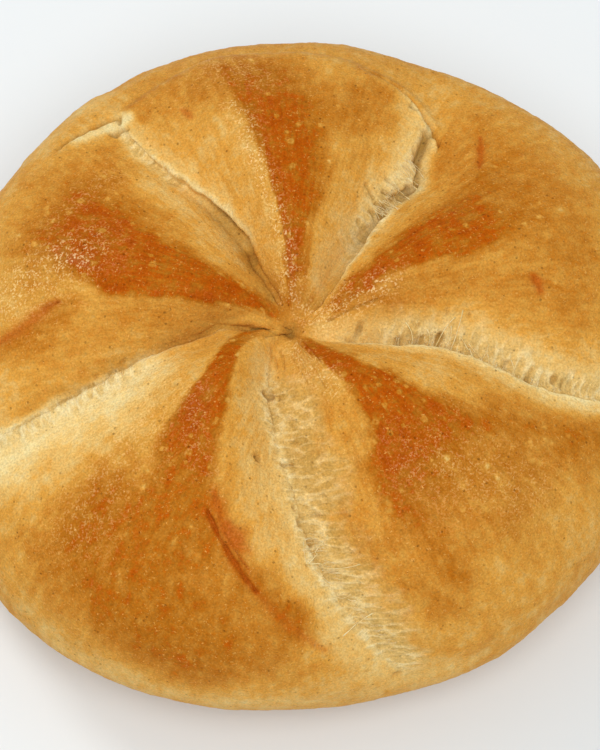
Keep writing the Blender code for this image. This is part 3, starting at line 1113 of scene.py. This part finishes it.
def crust_material(colours, grain_relief):
    """The crust: from cream through gold to chestnut by how far each place is baked, and torn crumb."""
    graph = Graph("crust")
    place = graph.node("ShaderNodeTexCoord", output="Object")
    streak = graph.attribute("streak", "Vector")
    fibre = graph.attribute("fibre", "Vector")
    names = ("bake", "crumb", "hollow", "red", "gloss", "blister", "flour", "away")
    bake, crumb, hollow, red, gloss, blister, flour, away = (graph.attribute(name) for name in names)

    # Noise from fine to broad, and the marks on the skin
    grain = graph.noise(place, 0.30 * MM, 1.0, 0.6)
    coarse = graph.noise(place, 0.80 * MM, 2.0, 0.6)
    mottle = graph.noise(place, 2.2 * MM, 3.0, 0.65)
    patches = graph.noise(place, 7.0 * MM, 2.0)
    specks = graph.noise(place, 0.36 * MM, 2.0, 0.7)
    streaks = (graph.noise(streak, 0.8 * MM, 3.0, 0.6) - 0.5) * away
    fibres = graph.noise(fibre, 0.45 * MM, 3.0, 0.6)
    webs = graph.cells(fibre, 1.1 * MM).between(0.40, 0.75)
    flecks_and_glints = specks.between(0.56, 0.66) * coarse.between(0.42, 0.58)
    glints = coarse.between(0.42, 0.56) * grain.between(0.50, 0.60)
    blister_rings = blister * (1.0 - blister) * 4.0
    pinpricks = (1.0 - graph.cells(place, 1.3 * MM).between(0.07, 0.17)) * mottle.between(0.42, 0.55)

    # The baked skin's colour
    lively = 0.40 + bake * 0.9
    uneven = (mottle - 0.5) * 0.66 + (coarse - 0.5) * 0.32 + streaks * 0.50
    level = bake + (patches - 0.5) * 0.16 + uneven * lively - blister_rings * 0.32 - blister * 0.10
    skin = graph.ramp(
        level * 0.84 + 0.02,
        (0.02, colours.cream),
        (0.19, colours.straw),
        (0.36, colours.golden),
        (0.53, colours.amber),
        (0.70, colours.brown),
        (0.86, colours.chestnut),
        (1.00, colours.dark_chestnut),
    )
    # Pale flecks, partly flaky skin and partly painted glints: mixed into the colour here and lightened in
    # the shade below
    fleck_and_glint_colour = graph.mix(bake * 0.8, rgba(colours.straw), rgba(colours.amber))
    skin = graph.mix(flecks_and_glints * (bake * 0.40 + 0.32), skin, fleck_and_glint_colour)
    # Painted glints: cream mixed into the colour on glossy skin, standing in for small highlights
    skin = graph.mix(glints * gloss * 0.50, skin, rgba(colours.cream))

    # The torn crumb's colour, and then all of it together
    # Painted shade of the torn crumb's relief: darker where its fibres and web lie deeper. It is darker too
    # where the crust is baked more.
    torn_level = (fibres - 0.5) * 0.9 + (webs - 0.4) * 0.40 + (mottle - 0.5) * 0.5 + 0.64 - bake * 0.7
    torn = graph.ramp(
        torn_level,
        (0.10, colours.shaded_crumb),
        (0.50, colours.crumb),
        (0.95, colours.pale_crumb),
    )
    colour = graph.mix(crumb.between(0.05, 0.95) * 0.85, skin, torn)
    # Painted shade: darkened towards the pore colour in pores, cracks, creases, grooves and the hub pit
    colour = graph.mix(hollow * 0.80, colour, rgba(colours.pore))
    colour = graph.mix(red * 0.85, colour, rgba(colours.scar))
    # Painted light and shade of the fine relief: lighter and darker with the same grain and coarse noise
    # that the bump raises, lighter on the flecks and darker in the pinpricks. The mottle adds the crust's
    # own uneven tone.
    shade = 0.96 + (grain - 0.5) * 0.70 + (coarse - 0.5) * lively * 0.55 + (mottle - 0.5) * 0.25
    shade = shade + flecks_and_glints * 0.22 - pinpricks * 0.35
    colour = graph.scale_colour(colour, shade)
    dust = flour * graph.noise(place, 5.0 * MM, 4.0, 0.65).between(0.45, 0.75)
    colour = graph.mix(dust * 0.6, colour, rgba(colours.flour))

    skin_relief = grain * 0.22 + coarse * 0.55 + streaks * 0.5 + flecks_and_glints * 0.25 - pinpricks * 0.35
    crumb_relief = fibres * 0.8 + webs * 0.45 + coarse * 0.4 + grain * 0.3
    height = graph.mix_values(crumb.between(0.1, 0.9), skin_relief, crumb_relief)
    shine = (glints * (gloss * 0.26 + 0.08) + gloss * 0.05) * (1.0 - crumb * 0.6) * (1.0 - flour)
    graph.set(
        Base_Color=colour,
        Roughness=0.5 + (mottle - 0.5) * 0.2 + flour * 0.2,
        Normal=graph.bump(height, grain_relief),
        Subsurface_Weight=0.04,
        Subsurface_Scale=1.2 * MM,
        Subsurface_Radius=(1.0, 0.6, 0.25),
        Specular_IOR_Level=0.02,
        Coat_Weight=shine,
        Coat_Roughness=0.22,
    )
    return graph.material


def strand_material(colours):
    """Stretched strands of crumb across the seams."""
    graph = Graph("strand")
    place = graph.node("ShaderNodeTexCoord", output="Object")
    mottle = graph.noise(place, 1.0 * MM)
    graph.set(
        Base_Color=graph.mix(mottle.between(0.3, 0.7), rgba(colours.crumb), rgba(colours.pale_crumb)),
        Roughness=0.5 + mottle * 0.2,
        Subsurface_Weight=0.2,
        Subsurface_Scale=1.0 * MM,
        Subsurface_Radius=(1.0, 0.6, 0.3),
    )
    return graph.material


def floor_material(colours):
    """The plain pale floor."""
    graph = Graph("floor")
    graph.set(Base_Color=rgba(colours.floor), Roughness=0.75, Specular_IOR_Level=0.2)
    return graph.material


# -------------------------------------------------------------------------------------------- pieces

def add_object(name, data):
    """A new object in the scene."""
    made = bpy.data.objects.new(name, data)
    bpy.context.collection.objects.link(made)
    return made


def add_mesh(name, points, faces):
    """A new object with a mesh of these points and faces."""
    mesh = bpy.data.meshes.new(name)
    mesh.from_pydata(points, [], faces)
    return add_object(name, mesh)


def ring_distances(grid):
    """Each ring's distance from the hub, down over the side and in under the base."""
    crown = np.arange(grid.crown_step, SIDE_DISTANCE, grid.crown_step)
    side = np.arange(crown[-1] + grid.side_step, RIM_DISTANCE, grid.side_step)
    base = np.arange(RIM_DISTANCE, END_DISTANCE - grid.base_step, grid.base_step)
    return np.concatenate([crown, side, base])


def grid_faces(rings, around):
    """Quads between the rings and triangles to the two poles, which are the last two points."""
    corner = np.arange(rings * around).reshape(rings, around)
    beside = np.roll(corner, -1, axis=1)
    quads = np.stack([corner[:-1], corner[1:], beside[1:], beside[:-1]], axis=-1).reshape(-1, 4)
    hub, foot = rings * around, rings * around + 1
    top = np.stack([np.full(around, hub), corner[0], beside[0]], axis=-1)
    bottom = np.stack([np.full(around, foot), beside[-1], corner[-1]], axis=-1)
    return quads.tolist() + top.tolist() + bottom.tolist()


def add_attributes(mesh, masks, vectors):
    """Stores what the material reads at each point of the mesh."""
    for kind, field, named_values in (("FLOAT", "value", masks), ("FLOAT_VECTOR", "vector", vectors)):
        for name, values in named_values.items():
            layer = mesh.attributes.new(name, kind, "POINT")
            layer.data.foreach_set(field, values.astype(np.float32).ravel())


def thin_out(obj, triangles):
    """Takes a mesh down to a number of triangles, fewest where it is flattest."""
    modifier = obj.modifiers.new("thin_out", "DECIMATE")
    modifier.ratio = min(1.0, triangles / sum(len(face.vertices) - 2 for face in obj.data.polygons))
    depsgraph = bpy.context.evaluated_depsgraph_get()
    thinned = bpy.data.meshes.new_from_object(obj.evaluated_get(depsgraph))
    obj.modifiers.clear()
    dense = obj.data
    obj.data = thinned
    bpy.data.meshes.remove(dense)


def make_crust(colours, sizes):
    """The crust: rings of points down from the hub and in under the base, closed at both poles."""
    grid = FULL_GRID
    rings = ring_distances(grid)
    coordinate = np.tile(np.arange(grid.around) / grid.around * len(SEAMS), len(rings))
    distance = np.repeat(rings, grid.around)
    coordinate = np.concatenate([coordinate, [0.0, 0.0]])
    distance = np.concatenate([distance, [POLE_DISTANCE, END_DISTANCE - POLE_DISTANCE]])
    places = Places(coordinate, distance)
    points, masks = surface(places, sizes)
    points[-1] = (*DOME_AXIS, 0.0)
    points[-2] = points[:grid.around].mean(axis=0)
    crust = add_mesh("crust", points.tolist(), grid_faces(len(rings), grid.around))
    add_attributes(crust.data, masks, {"streak": places.streaks(5.0), "fibre": crumb_points(places)})
    crust.data.shade_smooth()
    thin_out(crust, CRUST_TRIANGLES)
    crust.data.materials.append(crust_material(colours, sizes.grain_relief))
    return crust


def strand_paths(strands, sizes):
    """The strands' middle lines and half thicknesses: rooted at both ends and drawn thin between them."""
    reached = np.linspace(0.0, 1.0, STRAND_RINGS)
    starts = np.array([strand.start for strand in strands])
    ends = np.array([strand.end for strand in strands])
    stations = (starts[:, None] + (ends - starts)[:, None] * reached[:, None]).reshape(-1, 2)
    places = Places(stations[:, 0], stations[:, 1])
    points = surface(places, sizes)[0].reshape(-1, STRAND_RINGS, 3)
    normals = form_normal(places.coordinate, places.distance).reshape(-1, STRAND_RINGS, 3)
    arch = np.sin(math.pi * reached)
    for strand, point, normal in zip(strands, points, normals):
        chord = point[-1] - point[0]
        straight = point[0] + chord * reached[:, None]
        lifted = np.maximum(np.einsum("ij,ij->i", straight - point, normal), 0.0)
        lifted += strand.stand_off * arch - STRAND_ROOT_DEPTH * (1.0 - arch)
        sideways = np.cross(normal, chord)
        # How far and to which side a strand bows differs with its place
        bow = STRAND_BOW * math.sin(9000.0 * (strand.start[1] + strand.end[1]))
        bowed = bow * np.sin(math.pi * reached ** 1.3)
        path = point + normal * lifted[:, None] + sideways * bowed[:, None]
        yield path, strand.thickness * (1.0 + 1.6 * (2.0 * reached - 1.0) ** 4)


def fringe_strands(fringe, fibre_thickness, random):
    """The fibres of one fringe."""
    strands = []
    for _ in range(fringe.count):
        share = random.random()
        coordinate = fringe.start[0] + (fringe.end[0] - fringe.start[0]) * share
        distance = fringe.start[1] + (fringe.end[1] - fringe.start[1]) * share
        reach = fringe.reach * random.uniform(0.5, 1.1) / (LOBE_ANGLE * distance)
        root = coordinate + 0.3 * abs(reach) * random.uniform(-1.0, 1.0)
        end = (root + reach, distance + random.uniform(-0.6, 0.6) * MM)
        thickness = fibre_thickness * random.uniform(0.7, 1.4)
        strands.append(Strand((root, distance), end, random.uniform(0.02, 0.16) * MM, thickness))
    return strands


def add_tube(points, faces, path, thickness):
    """A thin closed tube along a path."""
    ahead = np.gradient(path, axis=0)
    ahead /= np.linalg.norm(ahead, axis=1, keepdims=True)
    side = np.cross(ahead, (0.0, 0.0, 1.0))
    side /= np.maximum(np.linalg.norm(side, axis=1, keepdims=True), 1e-9)
    over = np.cross(side, ahead)
    rings = len(points) + np.arange(len(path) * STRAND_SIDES).reshape(-1, STRAND_SIDES)
    turns = [math.tau * corner / STRAND_SIDES for corner in range(STRAND_SIDES)]
    for ring in range(len(path)):
        for turn in turns:
            offset = side[ring] * math.cos(turn) + over[ring] * math.sin(turn)
            points.append(tuple(path[ring] + thickness[ring] * offset))
    beside = np.roll(rings, -1, axis=1)
    sides = np.stack([rings[:-1], beside[:-1], beside[1:], rings[1:]], axis=-1).reshape(-1, 4)
    faces += sides.tolist()
    faces += [rings[0][::-1].tolist(), rings[-1].tolist()]


def make_strands(colours, sizes):
    """The strands and the fringes, as one mesh."""
    random = np.random.default_rng(STRAND_SEED)
    strands = list(STRANDS)
    for fringe in FRINGES:
        strands += fringe_strands(fringe, sizes.fibre_thickness, random)
    points, faces = [], []
    for path, thickness in strand_paths(strands, sizes):
        add_tube(points, faces, path, thickness)
    made = add_mesh("strands", points, faces)
    made.data.shade_smooth()
    made.data.materials.append(strand_material(colours))
    return made


# --------------------------------------------------------------------------------------------- stage

def aim(obj, target):
    """Turns an object so that it looks at a point."""
    obj.rotation_euler = (target - obj.location).to_track_quat("-Z", "Y").to_euler()


def make_camera(view):
    """The scene's camera, in front of the roll and above it."""
    camera = add_object("camera", bpy.data.cameras.new("camera"))
    camera.data.lens = view.camera_lens
    back = Vector((0.0, -math.cos(view.camera_elevation), math.sin(view.camera_elevation)))
    camera.location = CAMERA_TARGET + view.camera_distance * back
    aim(camera, CAMERA_TARGET)
    bpy.context.scene.camera = camera


def make_light(name, place, size, power):
    """A round soft light."""
    data = bpy.data.lights.new(name, "AREA")
    data.shape = "DISK"
    data.size = size
    data.energy = power
    data.color = LIGHT_COLOUR
    light = add_object(name, data)
    light.location = place
    aim(light, LIGHT_TARGET)


def make_world(view):
    """Even light all round, which glossy places don't mirror."""
    world = bpy.data.worlds.new("room")
    world.use_nodes = True
    background = world.node_tree.nodes["Background"]
    background.inputs["Color"].default_value = ROOM_COLOUR
    background.inputs["Strength"].default_value = view.fill_strength
    world.cycles_visibility.glossy = False
    bpy.context.scene.world = world


def make_floor(colours):
    """The floor, a square."""
    corners = [(x * FLOOR_HALF, y * FLOOR_HALF, 0.0) for x, y in ((-1, -1), (1, -1), (1, 1), (-1, 1))]
    floor = add_mesh("floor", corners, [(0, 1, 2, 3)])
    floor.data.materials.append(floor_material(colours))
    floor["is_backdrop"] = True


# ------------------------------------------------------------------------------------------ settings

def colour_property(name, description, default):
    """A colour that a user can change."""
    return FloatVectorProperty(
        name=name, description=description, default=default, subtype="COLOR", size=3, min=0.0, max=1.0)


def length_property(name, description, default):
    """A length that a user can change."""
    return FloatProperty(name=name, description=description, default=default, min=0.0, unit="LENGTH")


class KaiserColours(bpy.types.PropertyGroup):
    """The colours of the roll and of the floor"""
    # Also the colour of the glints painted on glossy skin
    cream: colour_property("Cream", "Crust that has hardly browned", (0.88, 0.70, 0.33))
    straw: colour_property("Straw", "Lightly baked crust", (0.78, 0.485, 0.145))
    golden: colour_property("Golden", "The flanks of the lobes", (0.68, 0.325, 0.052))
    amber: colour_property("Amber", "The shoulders of the lobes", (0.55, 0.215, 0.024))
    brown: colour_property("Brown", "Well baked crust", (0.450, 0.145, 0.008))
    chestnut: colour_property("Chestnut", "The darkest stripes", (0.445, 0.092, 0.0018))
    dark_chestnut: colour_property("Dark chestnut", "The stripes' darkest flecks", (0.38, 0.068, 0.0012))
    crumb: colour_property("Crumb", "Torn crumb", (0.74, 0.50, 0.180))
    shaded_crumb: colour_property("Shaded crumb", "Deeper parts of the crumb", (0.56, 0.335, 0.085))
    pale_crumb: colour_property("Pale crumb", "Crumb that was stretched thin", (0.85, 0.69, 0.36))
    # Also the painted shade mixed into pores, cracks, creases, the tongue's groove and the hub pit
    pore: colour_property("Pore", "The inside of a pore", (0.36, 0.19, 0.035))
    scar: colour_property("Scar", "Nipped skin", (0.47, 0.095, 0.005))
    flour: colour_property("Flour", "Flour on the underside", (0.80, 0.72, 0.58))
    floor: colour_property("Floor", "The floor", (0.79, 0.82, 0.835))


class KaiserSizes(bpy.types.PropertyGroup):
    """How strong the crust's relief is"""
    hub_pit_depth: length_property("Hub pit", "Depth of the last pit, in the middle of the top", 1.3 * MM)
    tongue_groove: length_property("Tongue groove", "Depth of the tear under the tongue's edge", 1.1 * MM)
    wrinkle_height: length_property("Wrinkles", "Height of the fine wrinkles of drawn skin", 0.12 * MM)
    blister_height: length_property("Blisters", "How far the blisters stand out", 0.10 * MM)
    grain_relief: length_property("Grain", "Depth of the finest relief, which is only shaded", 0.22 * MM)
    fibre_thickness: length_property("Fibres", "Half the thickness of the fringes' fibres", 0.030 * MM)


class KaiserView(bpy.types.PropertyGroup):
    """The camera and the lights"""
    camera_elevation: FloatProperty(
        name="Camera elevation", description="How steeply the camera looks down",
        default=math.radians(65), subtype="ANGLE")
    camera_distance: length_property("Camera distance", "From the camera to the middle of the roll", 0.45)
    camera_lens: FloatProperty(
        name="Camera lens", description="Focal length", default=149.0, unit="CAMERA")
    key_power: FloatProperty(
        name="Key power", description="Power of the window light", default=1.6, unit="POWER")
    front_power: FloatProperty(
        name="Front power", description="Power of the softer light in front", default=6.3, unit="POWER")
    fill_strength: FloatProperty(
        name="Fill strength", description="Strength of the even light all round", default=0.60)


# ----------------------------------------------------------------------------------------- operators

class OBJECT_OT_kaiser_crust(bpy.types.Operator):
    """Make the roll's crust, with its torn seams, in place of the plain solid"""
    bl_idname = "object.kaiser_crust"
    bl_label = "Crust"

    def execute(self, context):
        crust = make_crust(context.scene.kaiser_colours, context.scene.kaiser_sizes)
        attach(crust, "root")
        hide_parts("roll")
        return {"FINISHED"}


class OBJECT_OT_kaiser_strands(bpy.types.Operator):
    """Make the strands and fibres of crumb that are stretched across the seams"""
    bl_idname = "object.kaiser_strands"
    bl_label = "Strands"

    def execute(self, context):
        strands = make_strands(context.scene.kaiser_colours, context.scene.kaiser_sizes)
        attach(strands, "root")
        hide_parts("roll")
        return {"FINISHED"}


class OBJECT_OT_kaiser_stage(bpy.types.Operator):
    """Make the floor, the lights and the camera"""
    bl_idname = "object.kaiser_stage"
    bl_label = "Stage"

    def execute(self, context):
        view = context.scene.kaiser_view
        make_floor(context.scene.kaiser_colours)
        make_world(view)
        make_light("key", KEY_PLACE, KEY_SIZE, view.key_power)
        make_light("front", FRONT_PLACE, FRONT_SIZE, view.front_power)
        make_camera(view)
        context.scene.view_settings.view_transform = "Standard"
        return {"FINISHED"}


class VIEW3D_PT_kaiser(bpy.types.Panel):
    bl_label = "Kaiser roll"
    bl_idname = "VIEW3D_PT_kaiser"
    bl_space_type = "VIEW_3D"
    bl_region_type = "UI"
    bl_category = "Kaiser roll"

    def draw(self, context):
        for group_name in GROUPS:
            group = getattr(context.scene, group_name)
            for name in group.bl_rna.properties.keys():
                if name not in {"rna_type", "name"}:
                    self.layout.prop(group, name)
        for operator in OPERATORS:
            self.layout.operator(operator.bl_idname)


GROUPS = {"kaiser_sizes": KaiserSizes, "kaiser_colours": KaiserColours, "kaiser_view": KaiserView}
OPERATORS = (OBJECT_OT_kaiser_crust, OBJECT_OT_kaiser_strands, OBJECT_OT_kaiser_stage)
CLASSES = (*GROUPS.values(), *OPERATORS, VIEW3D_PT_kaiser)


def register():
    for cls in CLASSES:
        bpy.utils.register_class(cls)
    for name, group in GROUPS.items():
        setattr(bpy.types.Scene, name, PointerProperty(type=group))


def unregister():
    for name in GROUPS:
        delattr(bpy.types.Scene, name)
    for cls in reversed(CLASSES):
        bpy.utils.unregister_class(cls)


def corners(bounds):
    """A box's two corners as plain lists."""
    return [[float(number) for number in corner] for corner in bounds]


def main():
    register()
    bpy.ops.object.kaiser_crust()
    bpy.ops.object.kaiser_strands()
    bpy.ops.object.kaiser_stage()
    {"cad": corners(CAD_BOX), "visual": corners(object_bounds())}


if __name__ == "__main__":
    main()
